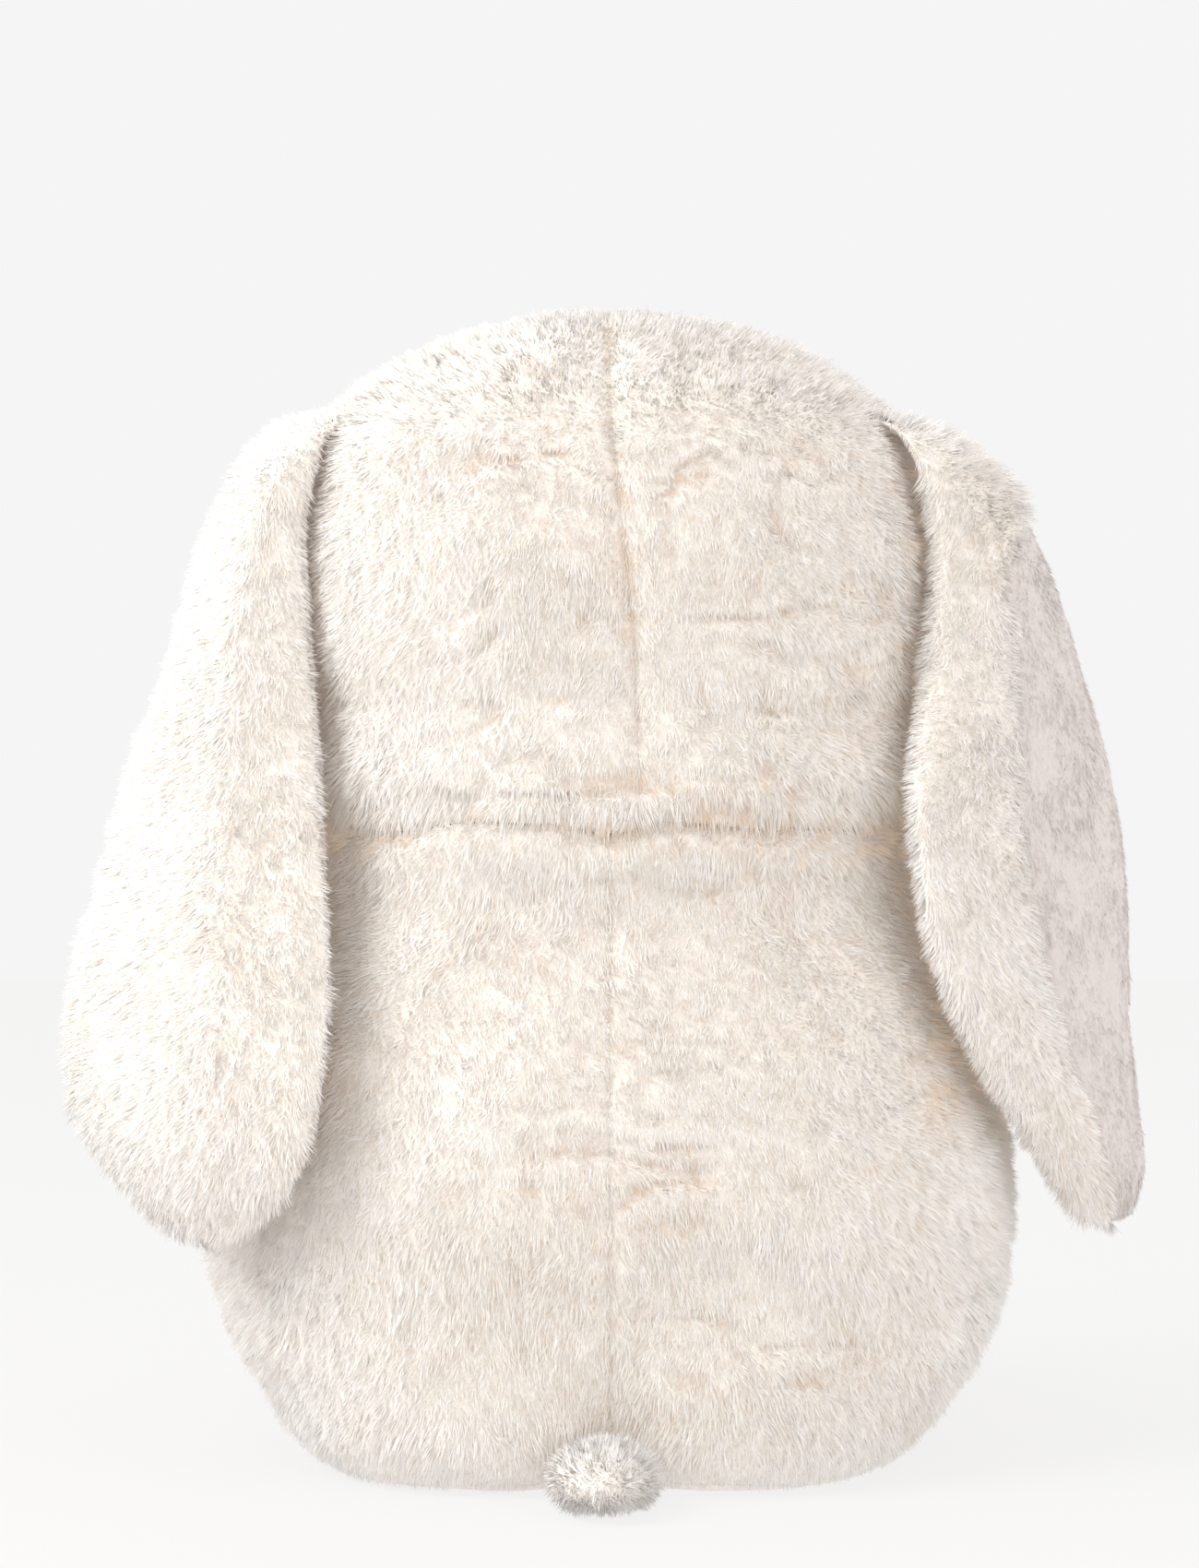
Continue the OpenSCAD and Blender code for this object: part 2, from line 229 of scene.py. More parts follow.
def underfur(name, low, high, tuft=1.7 * MM):
    """The dense short hair between the long strands: small upright tufts in two tones."""
    m, tree, shader = new_material(name, 0.95, 0.3)
    place = object_space(tree)
    upright = node(tree, "ShaderNodeMapping")
    upright.inputs["Scale"].default_value = (1, 1, 0.5)
    tufts = node(tree, "ShaderNodeTexNoise", Scale=1 / tuft, Detail=3.0, Roughness=0.6)
    tree.links.new(place, upright.inputs["Vector"])
    tree.links.new(upright.outputs["Vector"], tufts.inputs["Vector"])
    tree.links.new(two_tones(tree, tufts.outputs["Fac"], low, high), shader.inputs["Base Color"])
    bumped(tree, shader, tufts.outputs["Fac"], 0.8, 0.8 * MM)
    return m


def woven(name, low, high, thread, roughness):
    """Plain weave: two crossing sets of threads."""
    m, tree, shader = new_material(name, roughness)
    place = object_space(tree)
    bands = []
    for direction in ("X", "Z"):
        wave = node(tree, "ShaderNodeTexWave", Scale=1 / (thread * 2 * math.pi), Distortion=0.6, Detail=2.0)
        wave.bands_direction = direction
        tree.links.new(place, wave.inputs["Vector"])
        bands.append(wave.outputs["Fac"])
    both = node(tree, "ShaderNodeMath", operation="MULTIPLY")
    for i, band in enumerate(bands):
        tree.links.new(band, both.inputs[i])
    tree.links.new(two_tones(tree, both.outputs[0], low, high, 0.1, 0.6), shader.inputs["Base Color"])
    bumped(tree, shader, both.outputs[0], 0.5, 0.3 * MM)
    return m


def glossy_eye():
    m, tree, shader = new_material("eye_plastic", 0.07)
    place = object_space(tree)
    cloud = node(tree, "ShaderNodeTexNoise", Scale=160.0, Detail=3.0)
    tree.links.new(place, cloud.inputs["Vector"])
    tree.links.new(two_tones(tree, cloud.outputs["Fac"], (0.006, 0.004, 0.003), (0.030, 0.016, 0.010)),
                   shader.inputs["Base Color"])
    shader.inputs["Coat Weight"].default_value = 0.6
    shader.inputs["Coat Roughness"].default_value = 0.03
    return m


def hair_tone(name, colour, sheen, through=0.085):
    """Plain fibre colour. The pile's variation comes from many strands in several tones. Through is
    the strength of a warm glow, which stands for the light that scatters inside the fur."""
    m, _, shader = new_material(name, 0.75, sheen)
    shader.inputs["Emission Color"].default_value = (0.95, 0.75, 0.58, 1)
    shader.inputs["Emission Strength"].default_value = through
    shader.inputs["Base Color"].default_value = (*colour, 1)
    shader.inputs["Specular IOR Level"].default_value = 0.25
    return m


backing = underfur("fur_backing", (0.87, 0.79, 0.70), (0.95, 0.92, 0.88))
lining_cloth = underfur("lining_cloth", (0.67, 0.60, 0.575), (0.72, 0.67, 0.65), 1.1 * MM)
fibre = speckled("fibre_filling", (0.90, 0.90, 0.89), (0.97, 0.97, 0.96), 12 * MM, 1.5 * MM, 0.9, 0.4)
washer_plastic = speckled("washer_plastic", (0.88, 0.88, 0.87), (0.94, 0.94, 0.93), 9 * MM, 0.4 * MM, 0.4)
pellet_cloth = woven("pellet_cloth", (0.70, 0.73, 0.76), (0.86, 0.88, 0.90), 0.9 * MM, 0.85)
thread = speckled("embroidery_thread", (0.56, 0.33, 0.29), (0.76, 0.51, 0.46), 2.5 * MM, 0.25 * MM, 0.5, 0.3)
eye_plastic = glossy_eye()

CREAM = [
    # The two darkest tones are mostly painted shade, taken by strands in folds, seams and crevices; the
    # deepest also glows more, to keep that shade warm.
    hair_tone("hair_deep", (0.620, 0.530, 0.450), 0.1, 0.30),
    hair_tone("hair_shade", (0.815, 0.750, 0.690), 0.15, 0.13),
    hair_tone("hair_warm", (0.935, 0.905, 0.868), 0.15),
    hair_tone("hair_cream", (0.960, 0.945, 0.926), 0.2),
    hair_tone("hair_light", (0.975, 0.967, 0.957), 0.2),
]
# Pink lining tones, also darkened as painted shade, because the right ear's lining faces away from the key
# light.
BLUSH_AND_SHADE = [
    hair_tone("lining_deep", (0.660, 0.570, 0.540), 0.1),
    hair_tone("lining_shade", (0.675, 0.615, 0.595), 0.15),
    hair_tone("lining_warm", (0.690, 0.640, 0.622), 0.15),
    hair_tone("lining_cream", (0.705, 0.662, 0.646), 0.2),
    hair_tone("lining_light", (0.720, 0.682, 0.668), 0.2),
]


# ---------------- pieces and how they are held
NECK_BEND = ("torso", "neck", (0, 0, NECK - 34 * MM), (0, 0, NECK))
HEAD_BEND = ("neck", "head", (0, 0, NECK + 2 * MM), (0, 0, NECK + 40 * MM))


def ear_bend(name):
    side = SIDES[name]
    root = pivot(f"ear_{name}_lift")
    return ("head", f"ear_{name}", tuple(root + [-18 * MM * side, -9 * MM, 5 * MM]),
            tuple(root + [16 * MM * side, 5 * MM, -20 * MM]))


BENDS = {"torso_skin": NECK_BEND, "head_skin": HEAD_BEND,
         "ear_left_skin": ear_bend("left"), "ear_right_skin": ear_bend("right")}


def attach(piece, place):
    """Place is a body's name, or the name of a skin in BENDS, whose pieces stay where they are, unparented.
    """
    if place in BENDS:
        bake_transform(piece)
    else:
        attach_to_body(piece, place)


def add_object(name, mesh, materials):
    for m in materials:
        mesh.materials.append(m)
    piece = bpy.data.objects.new(name, mesh)
    bpy.context.scene.collection.objects.link(piece)
    return piece


def closed_mesh(name, verts, faces):
    """Mesh with doubled points merged and every face turned outwards."""
    mesh = bpy.data.meshes.new(name)
    mesh.from_pydata(verts.tolist(), [], [f for group in faces for f in group.tolist()])
    bm = bmesh.new()
    bm.from_mesh(mesh)
    bmesh.ops.remove_doubles(bm, verts=bm.verts, dist=0.5e-6)
    bmesh.ops.recalc_face_normals(bm, faces=bm.faces)
    bm.to_mesh(mesh)
    bm.free()
    mesh.polygons.foreach_set("use_smooth", [True] * len(mesh.polygons))
    return mesh


def grid_ids(rows, cols, closed):
    ids = np.arange(rows * cols).reshape(rows, cols)
    return np.concatenate([ids, ids[:, :1]], 1) if closed else ids


def quads_of(ids):
    return np.stack([ids[:-1, :-1], ids[:-1, 1:], ids[1:, 1:], ids[1:, :-1]], -1).reshape(-1, 4)


def sheet_mesh(name, outer, inner, closed):
    """One closed piece of fabric between two grids of the same shape."""
    rows, cols = outer.shape[:2]
    ids = grid_ids(rows, cols, closed)
    count = rows * cols
    quads = quads_of(ids)
    rims = [ids[row] for row in (0, -1) if not is_point(outer[row])]
    if not closed:
        rims += [ids[:, 0], ids[:, -1]]
    strips = [np.stack([r[:-1], r[1:], r[1:] + count, r[:-1] + count], -1) for r in rims]
    verts = np.concatenate([outer.reshape(-1, 3), inner.reshape(-1, 3)])
    return closed_mesh(name, verts, [quads, quads[:, ::-1] + count] + strips)


def solid_parts(p):
    """Points and faces of the closed form through the rings of p, capped at both ends."""
    rows, cols = p.shape[:2]
    ids = grid_ids(rows, cols, True)
    verts = np.concatenate([p.reshape(-1, 3), p[0].mean(0)[None], p[-1].mean(0)[None]])
    low, high = rows * cols, rows * cols + 1
    caps = [np.stack([ids[0, 1:], ids[0, :-1], np.full(cols, low)], -1),
            np.stack([ids[-1, :-1], ids[-1, 1:], np.full(cols, high)], -1)]
    return verts, [quads_of(ids)] + caps


def inflate(p, seams, cap, pressure=4.0, last_frame=20):
    """Fills the form with pressure in a cloth simulation. The seam columns and the two end rings
    are held, and no other point moves further than cap."""
    first, last = int(is_point(p[0])), len(p) - int(is_point(p[-1]))
    rings = p[first:last]
    verts, faces = solid_parts(rings)
    mesh = closed_mesh("form", verts, faces)
    form = add_object("form", mesh, [])
    ids = np.arange(rings.shape[0] * rings.shape[1]).reshape(rings.shape[:2])
    held = set(ids[[0, -1]].ravel().tolist()) | set(ids[:, seams].ravel().tolist())
    form.vertex_groups.new(name="held").add(sorted(held), 1, "REPLACE")
    cloth = form.modifiers.new("cloth", "CLOTH")
    cloth.settings.quality = 4
    cloth.settings.mass = 0.3
    cloth.settings.tension_stiffness = cloth.settings.compression_stiffness = 15
    cloth.settings.shear_stiffness = 5
    cloth.settings.bending_stiffness = 0.5
    cloth.settings.use_pressure = True
    cloth.settings.uniform_pressure_force = pressure
    cloth.settings.effector_weights.gravity = 0
    cloth.settings.vertex_group_mass = "held"
    cloth.point_cache.frame_start, cloth.point_cache.frame_end = 1, last_frame
    for number in range(1, last_frame + 1):
        bpy.context.scene.frame_set(number)
    result = form.evaluated_get(bpy.context.evaluated_depsgraph_get())
    moved = np.empty(len(mesh.vertices) * 3)
    result.data.vertices.foreach_get("co", moved)
    move = moved.reshape(-1, 3)[:ids.size].reshape(rings.shape) - rings
    far = np.linalg.norm(move, axis=-1, keepdims=True)
    bpy.data.objects.remove(form)
    bpy.data.meshes.remove(mesh)
    bpy.context.scene.frame_set(1)
    grown = p.copy()
    grown[first:last] += move * np.minimum(1, cap / np.maximum(far, 1e-9))
    return grown


class Skin:
    """A grid of fabric points with outward normals, the way the pile lies, how long it is and its painted
    shade: how far its strands go to the darker warm tones where shade falls, or to the lighter ones where it
    is below 0."""

    def __init__(self, points, lay, length, closed=True, shade=0.0):
        self.p = points
        self.n = normals(points, closed)
        self.lay = unit(lay - self.n * np.sum(lay * self.n, -1, keepdims=True))
        self.length = np.broadcast_to(length, points.shape[:2])
        self.shade = np.broadcast_to(shade, points.shape[:2])
        self.closed = closed

    def part(self, first, last):
        """The open strip between two columns, both included."""
        cols = np.arange(first, last + 1) % self.p.shape[1]
        strip = Skin.__new__(Skin)
        strip.p, strip.n, strip.lay = self.p[:, cols], self.n[:, cols], self.lay[:, cols]
        strip.length, strip.shade, strip.closed = self.length[:, cols], self.shade[:, cols], False
        return strip

    def halves(self, first):
        """The two strips between this column and the opposite one."""
        half = self.p.shape[1] // 2
        return self.part(first, first + half), self.part(first + half, first + 2 * half)

    def wrapped(self):
        return self.part(0, self.p.shape[1]) if self.closed else self


def stand_for(node_name, name, mesh, material, place):
    """Adds the piece that replaces this CAD node."""
    piece = add_object(name, mesh, [material])
    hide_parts(node_name)
    attach(piece, place)


def fabric(node_name, skin, place, cloth=backing):
    """The sewn panel itself: knitted backing with a real thickness."""
    name = f"{node_name}_fabric"
    mesh = sheet_mesh(name, skin.p, skin.p - skin.n * FABRIC, skin.closed)
    stand_for(node_name, name, mesh, cloth, place)


def inner_side(skin, gap):
    """Rings that lie this gap inside the skin's fabric."""
    return skin.p - skin.n * (FABRIC + gap)


def filling(name, rings, place, node_name, stuff=fibre):
    """Closed lump of filling through the rings, with a lumpy surface."""
    n = normals(rings, True)
    rough = rings + n * lumps(rings, 11 * MM) * 0.8 * MM
    rough[[0, -1]] = rings[[0, -1]]
    verts, faces = solid_parts(rough)
    stand_for(node_name, name, closed_mesh(name, verts, faces), stuff, place)


STRAND_SINK = 0.8 * MM      # depth of a strand's root in the fabric
FLOOR_CLEAR = 0.3 * MM      # height that no strand goes under
THIRD_TURN = 2.0944         # between the three sides of a strand, in radians

# Length of the pile, and its strands per square metre.
PILE_LENGTH = {"body": 5.2 * MM, "muzzle": 5.0 * MM, "ear_lining": 3.4 * MM, "limb": 5.6 * MM,
               "foot_pad": 3.6 * MM, "tail": 4.6 * MM}
DENSITY = {"torso_back": 1.45e6, "head_back": 1.6e6, "belly": 0.9e6, "face": 1.35e6, "muzzle": 2.2e6,
           "ear": 1.7e6, "lining": 2.2e6, "limb": 1.5e6, "tail": 1.6e6}


def pile(name, skin, place, seed, density, tones=CREAM, width=0.52 * MM, lift=56,
         wander=0.35, clump=1.5 * MM, keep=None):
    """The fur: three-sided tapering strands rooted all over the skin. Density is in strands per
    square metre, and lift is a strand's angle over the fabric in degrees."""
    rng = np.random.default_rng(seed)
    skin = skin.wrapped()
    p = skin.p
    span = np.cross(p[1:, 1:] - p[:-1, :-1], p[1:, :-1] - p[:-1, 1:])
    want = np.linalg.norm(span, axis=-1) * 0.5 * density
    count = np.floor(want + rng.random(want.shape)).astype(int)
    cell = np.repeat(np.arange(count.size), count.ravel())
    row, col = np.divmod(cell, want.shape[1])
    u, v = rng.random((2, len(cell), 1))

    def at(grid):
        lower = grid[row, col] * (1 - u) + grid[row, col + 1] * u
        upper = grid[row + 1, col] * (1 - u) + grid[row + 1, col + 1] * u
        return lower * (1 - v) + upper * v

    root, up, lay = at(p), unit(at(skin.n)), at(skin.lay)
    length, shade = at(skin.length[..., None]), at(skin.shade[..., None])
    if keep is not None:
        chosen = keep(root) > rng.random(len(root))
        root, up, lay, length, shade = (grid[chosen] for grid in (root, up, lay, length, shade))
    total = len(root)
    tuft = root * [1, 1, 0.65]
    lay = lay + vector_noise(root, 42 * MM) * wander + vector_noise(root + 3, 13 * MM) * wander
    lay = lay + rng.normal(0, 0.12, (total, 3))
    lay = unit(lay - up * np.sum(lay * up, -1, keepdims=True))
    length = length * (0.95 + 0.18 * lumps(root, 16 * MM) + 0.20 * lumps(tuft, 2.3 * MM)
                       + rng.uniform(-0.15, 0.15, (total, 1)))
    wobble = lumps(root + 7, 12 * MM) + lumps(tuft + 6, 2.6 * MM) + rng.normal(0, 0.6, (total, 1))
    angle = np.radians(lift) + np.radians(9) * wobble
    base = root - up * STRAND_SINK
    pull = vector_noise(tuft + 5, 2.4 * MM) * clump * (length / (6 * MM))
    tip = base + length * (lay * np.cos(angle) + up * np.sin(angle)) + pull
    along = unit(tip - base)
    across = unit(np.cross(along, up))
    over = np.cross(across, along)
    reach = width * 0.5 * rng.uniform(0.8, 1.2, (total, 1))
    turn = rng.uniform(0, 2 * math.pi, (total, 1))
    sides = [turn + k * THIRD_TURN for k in range(3)]
    around = [across * np.cos(side) + over * np.sin(side) for side in sides]
    verts = np.stack([base + way * reach for way in around] + [tip], 1)
    verts[..., 2] = np.maximum(verts[..., 2], FLOOR_CLEAR)
    soft = up * 1.4 + vector_noise(tuft + 4, 2.4 * MM) * 0.45
    edge = [unit(way + soft) for way in around]
    facing = [n for k in range(3) for n in (edge[(k + 1) % 3], edge[k], unit(edge[k] + edge[(k + 1) % 3]))]
    # The painted shade is patchy: it darkens the strands more in some small patches than in others.
    shade_patches = smooth(lumps(root * [0.4, 0.4, 1] + 8, 2.4 * MM), -0.25, 0.4)
    tone = 0.5 + 0.20 * lumps(root + 9, 22 * MM) + 0.34 * lumps(tuft + 2, 2.1 * MM)
    tone = (tone - shade * (0.55 + 0.9 * shade_patches))[:, 0] + rng.normal(0, 0.13, total)
    tone = np.clip((tone * 3.2 + 1.4).astype(int), 0, len(tones) - 1)

    mesh = bpy.data.meshes.new(name)
    mesh.vertices.add(total * 4)
    mesh.vertices.foreach_set("co", verts.astype(np.float32).ravel())
    mesh.loops.add(total * 9)
    corner = (np.arange(total) * 4)[:, None] + [1, 0, 3, 2, 1, 3, 0, 2, 3]
    mesh.loops.foreach_set("vertex_index", corner.astype(np.int32).ravel())
    mesh.polygons.add(total * 3)
    mesh.polygons.foreach_set("loop_start", (np.arange(total * 3) * 3).astype(np.int32))
    mesh.polygons.foreach_set("material_index", np.repeat(tone, 3).astype(np.int32))
    mesh.update(calc_edges=True)
    mesh.normals_split_custom_set(np.stack(facing, 1).reshape(-1, 3).tolist())
    piece = add_object(name, mesh, tones)
    attach(piece, place)


# ---------------- torso and head
COLUMN = 1.5                # degrees between two columns
SIDE_WRAP = 12              # degrees that the back panels reach past the sides
AZIMUTHS = np.arange(-SIDE_WRAP, 360 - SIDE_WRAP, COLUMN)
CENTRE_SEAM = int((90 + SIDE_WRAP) / COLUMN)
RIGHT_SEAM = 2 * CENTRE_SEAM
SPANS = {"left": (0, CENTRE_SEAM), "right": (CENTRE_SEAM, RIGHT_SEAM), "front": (RIGHT_SEAM, len(AZIMUTHS))}
SEAMS = [0, CENTRE_SEAM, RIGHT_SEAM]
SEAM_RING = 0.705 * TORSO_HALF   # radius of the neck seam
TORSO_TOP = NECK + 3.9 * MM      # the torso's last ring, just under the head's first


def rings_of(profile, turn=0):
    """Rings round the upright axis, a little squarer at the back where the fabric is pulled flat."""
    a = np.radians(AZIMUTHS) + turn
    bulge = 2 + 0.5 * (np.sin(a) > 0)
    full = (np.abs(np.cos(a)) ** bulge + np.abs(np.sin(a)) ** bulge) ** (-1 / bulge)
    r, z = profile[:, :1] * full, profile[:, 1:]
    return np.stack([r * np.cos(a), DEPTH * r * np.sin(a), z + 0 * a], -1)


def from_seam(p, azimuth):
    """Distance round the form from the seam at this azimuth."""
    turn = (AZIMUTHS - azimuth + 180) % 360 - 180
    return np.radians(turn) * np.hypot(p[..., 0], p[..., 1])


def seam_dip(p, azimuth, width):
    """1 on a seam that runs up the form at this azimuth, 0 away from it."""
    return bell(from_seam(p, azimuth), width)


def side_seams(p):
    return seam_dip(p, -SIDE_WRAP, 5 * MM) + seam_dip(p, 180 + SIDE_WRAP, 5 * MM)


def ruffles(p, zones, seed):
    """Near 1 in the short, wavering folds that run across the back inside the zones, near 0 between
    them. A zone is its middle and its reach, sideways and upwards, and its strength."""
    x, y, z = np.moveaxis(p, -1, 0) / MM
    stretched = np.stack([x / 4.2, y / 4.2, z + 2.5 * lumps(p + seed, 24 * MM)[..., 0]], -1) * MM
    ridge = bell(lumps(stretched + seed, 6.5 * MM)[..., 0], 0.16)
    broken = smooth(lumps(p + seed + 1, 19 * MM)[..., 0], -0.6, 0.1)
    zone = 0
    for middle_x, middle_z, reach_x, reach_z, strength in zones:
        zone = np.maximum(zone, strength * bell(x - middle_x, reach_x) * bell(z - middle_z, reach_z))
    return (0.12 + 0.88 * ridge * broken) * zone * (y > 0)


def parted(p, azimuth, strength):
    """Sideways push of the pile away from the seam at this azimuth."""
    away = from_seam(p, azimuth)
    a = np.radians(AZIMUTHS)
    along = np.stack([-np.sin(a), np.cos(a), 0 * a], -1)
    return along * (np.sign(away) * bell(away, 9 * MM) * strength)[..., None]


DOWN = np.array([0.0, 0.0, -1.0])

# Zones of the back where the fabric is ruffled: middle and reach sideways and upwards in mm, strength.
TORSO_RUFFLES = [
    (-20, 166, 44, 12, 0.8), (-18, 92, 52, 13, 1.0), (-44, 44, 34, 20, 0.8), (-8, 126, 60, 22, 0.5)]
HEAD_RUFFLES = [
    (8, 293, 34, 7, 1.0), (-36, 284, 42, 16, 0.8), (16, 232, 34, 26, 0.9), (-46, 246, 40, 30, 0.7),
    (-10, 196, 66, 10, 0.8)]


def neck_fill(p):
    """Moves the fabric out at the back's middle, where the head rests on the torso."""
    azimuth = np.degrees(np.arctan2(p[..., 1] / DEPTH, p[..., 0]))
    behind = bell((azimuth + 90) % 360 - 180, 52) * bell(p[..., 2] - NECK, 15 * MM)
    p = p * [1, 1, 0] * (1 + 0.12 * behind[..., None]) + p * [0, 0, 1]
    wave = lumps(p * [1, 1, 0], 17 * MM) * bell(p[..., 2:] - NECK, 12 * MM)
    return p + wave * [0, 0, 2.6 * MM]


def crevice_shade(p):
    """Painted shade: how far the strands go to the darker warm tones where the ears lie against the sides and
    at the ends of the neck seam, where shade falls.
    """
    beside = smooth(np.abs(p[..., 0]), 0.74 * HEAD_HALF, 0.95 * HEAD_HALF) * (p[..., 1] > -20 * MM)
    beside = 0.5 * beside * smooth(p[..., 2], 88 * MM, 118 * MM) * smooth(-p[..., 2], -312 * MM, -292 * MM)
    seam_ends = smooth(np.abs(p[..., 0]), 45 * MM, 80 * MM) * bell(p[..., 2] - NECK, 6 * MM) * (p[..., 1] > 0)
    return np.maximum(beside, 0.5 * seam_ends)


def uneven(p):
    """Gentle hills of stuffed fabric: how far each point rises."""
    return lumps(p, 34 * MM)[..., 0] * 1.8 * MM + lumps(p, 15 * MM)[..., 0] * 0.7 * MM


def torso_skin():
    profile = spline(np.array(TORSO_SHARES) * [TORSO_HALF, NECK])
    room = 1.5 * MM + (PILE_ROOM - 1.5 * MM) * smooth(profile[:, 1], 0, 26 * MM)
    profile = inset(profile, room)
    low = profile[profile[:, 1] < NECK - 9 * MM]
    profile = np.concatenate([low, spline([low[-1], [SEAM_RING + 1.8 * MM, NECK - 2.5 * MM],
                                           [SEAM_RING, TORSO_TOP]])[1:]])
    p = neck_fill(inflate(rings_of(even(profile, 120)), SEAMS, 3 * MM))
    foot = smooth(-p[..., 2], -58 * MM, -4 * MM)[..., None]
    beside_tail = 1 - 0.75 * bell(p[..., :1], 19 * MM)
    behind = smooth(p[..., 1:2], 0, 60 * MM) * beside_tail
    p = p * (1 - np.array([0.05, 0, 0]) * foot) + np.array([0, 20 * MM, 0]) * foot * behind
    n = normals(p, True)
    folds = ruffles(p, TORSO_RUFFLES, 40)
    middle = seam_dip(p, 90, 3 * MM)
    dip = (3.0 * folds + 0.5 * middle + 1.8 * side_seams(p)) * MM
    rise = uneven(p) - dip
    p = p + n * (rise * smooth(TORSO_TOP - p[..., 2], 0, 9 * MM))[..., None]
    z = p[..., 2]
    short = np.clip(1 - 0.3 * folds - 0.2 * middle, 0.4, 1)
    length = PILE_LENGTH["body"] * short * (0.6 + 0.4 * smooth(z, 2 * MM, 18 * MM))
    # Painted shade: darker warm tones in the folds, along the middle seam, at the neck under the head and in
    # the crevices beside the ears.
    shade = 0.9 * folds + 0.12 * middle + 0.30 * smooth(z, NECK - 7 * MM, NECK + 1 * MM) + crevice_shade(p)
    return Skin(p, DOWN + parted(p, 90, 0.15), length, shade=shade)


def head_profile():
    profile = inset(spline(np.array(HEAD_SHARES) * [HEAD_HALF, HEAD_HEIGHT] + [0, NECK]), PILE_ROOM)
    profile[:, 0] = np.maximum(profile[:, 0], 0)
    profile[-1, 0] = 0
    high = profile[profile[:, 1] > NECK + 38 * MM]
    cheek = [[SEAM_RING, NECK + 4.0 * MM], [SEAM_RING + 5 * MM, NECK + 10 * MM],
             [SEAM_RING + 10 * MM, NECK + 20 * MM], high[0]]
    return np.concatenate([spline(cheek)[:-1], high])


HEAD_PROFILE = head_profile()
EYE_OUT = 47 * MM
EYE_Z = NECK + 0.46 * HEAD_HEIGHT
MUZZLE = np.array([0, -HEAD_HALF * DEPTH, NECK + 0.32 * HEAD_HEIGHT])
MUZZLE_RADIUS = 33 * MM


def face_depth(x, z):
    """How far in front of the middle the face's fabric lies."""
    rising = HEAD_PROFILE[np.argsort(HEAD_PROFILE[:, 1])]
    r = np.interp(z, rising[:, 1], rising[:, 0])
    return DEPTH * np.sqrt(np.maximum(r**2 - x**2, 0))


def near(p, x, z, width):
    """Bell round a place on the face."""
    return bell(np.hypot(p[..., 0] - x, p[..., 2] - z), width) * (p[..., 1] < 0)


def head_skin():
    profile = even(HEAD_PROFILE, 120)
    # The back seam leans to the right as it runs down.
    drift = math.radians(5) * smooth(CROWN - profile[:, 1:], 15 * MM, 140 * MM)
    p = neck_fill(inflate(rings_of(profile, drift), SEAMS, 3 * MM))
    n = normals(p, True)
    folds = ruffles(p, HEAD_RUFFLES, 70)
    back_seam = seam_dip(p, 90, 2.6 * MM) * smooth(p[..., 2], 205 * MM, 220 * MM)
    rise = uneven(p)
    rise -= (3.4 * folds + 1.6 * back_seam + 1.8 * side_seams(p)) * MM
    for side in SIDES.values():
        rise += near(p, side * 44 * MM, MUZZLE[2] - 8 * MM, 24 * MM) * 3.5 * MM
        rise -= near(p, side * EYE_OUT, EYE_Z, 10 * MM) * 2.5 * MM
    rise *= smooth(CROWN - p[..., 2], 4 * MM, 16 * MM) * smooth(p[..., 2] - NECK, 4 * MM, 12 * MM)
    p = p + n * rise[..., None]
    front = smooth(-p[..., 1], -20 * MM, 45 * MM)[..., None]
    lay = front * unit(p - MUZZLE) + (1 - front) * (DOWN + unit(p - MUZZLE) * 0.35)
    for side in SIDES.values():
        eye = np.array([side * EYE_OUT, -face_depth(side * EYE_OUT, EYE_Z), EYE_Z])
        lay = lay + unit(p - eye) * near(p, side * EYE_OUT, EYE_Z, 13 * MM)[..., None] * 2
    short = np.clip(1 - 0.35 * folds - 0.25 * back_seam, 0.4, 1)
    eyes = sum(near(p, side * EYE_OUT, EYE_Z, 14 * MM) for side in SIDES.values())
    length = PILE_LENGTH["body"] * short * (1 - 0.20 * front[..., 0]) * (1 - 0.40 * eyes)
    length = length * (1 + 0.3 * smooth(-p[..., 2], -NECK - 26 * MM, -NECK - 8 * MM))
    length = length * (1 - 0.15 * smooth(p[..., 2], CROWN - 28 * MM, CROWN - 8 * MM))
    # Painted shade: darker warm tones in the folds, along the back seam, at the neck and in the crevices
    # beside the ears.
    shade = 0.9 * folds + 0.40 * back_seam + 0.30 * smooth(-p[..., 2], -NECK - 12 * MM, -NECK - 3 * MM)
    shade = shade + crevice_shade(p)
    return Skin(p, lay + parted(p, 90, 0.2), length, shade=shade)


def spared_face(root):
    """Keeps the pile off the eyes and off the fabric behind the muzzle."""
    front = root[:, 1] < 0
    muzzle = np.hypot(root[:, 0], root[:, 2] - MUZZLE[2]) < MUZZLE_RADIUS - 3 * MM
    eyes = np.hypot(np.abs(root[:, 0]) - EYE_OUT, root[:, 2] - EYE_Z) < 6.6 * MM
    return ~(front & (muzzle | eyes))


torso = torso_skin()
head = head_skin()
for panel, skin, place, density in (("back_panel", torso, "torso_skin", DENSITY["torso_back"]),
                                    ("head_panel", head, "head_skin", DENSITY["head_back"])):
    for seed, side in enumerate(SIDES):
        strip = skin.part(*SPANS[side])
        fabric(f"{panel}_{side}", strip, place)
        pile(f"{panel}_{side}_pile", strip, place, 100 + seed, density)
belly = torso.part(*SPANS["front"])
fabric("belly_panel", belly, "torso_skin")
pile("belly_panel_pile", belly, "torso_skin", 110, DENSITY["belly"])
face = head.part(*SPANS["front"])
fabric("face_panel", face, "head_skin")
pile("face_panel_pile", face, "head_skin", 111, DENSITY["face"], keep=spared_face, wander=0.25,
     clump=1.1 * MM)


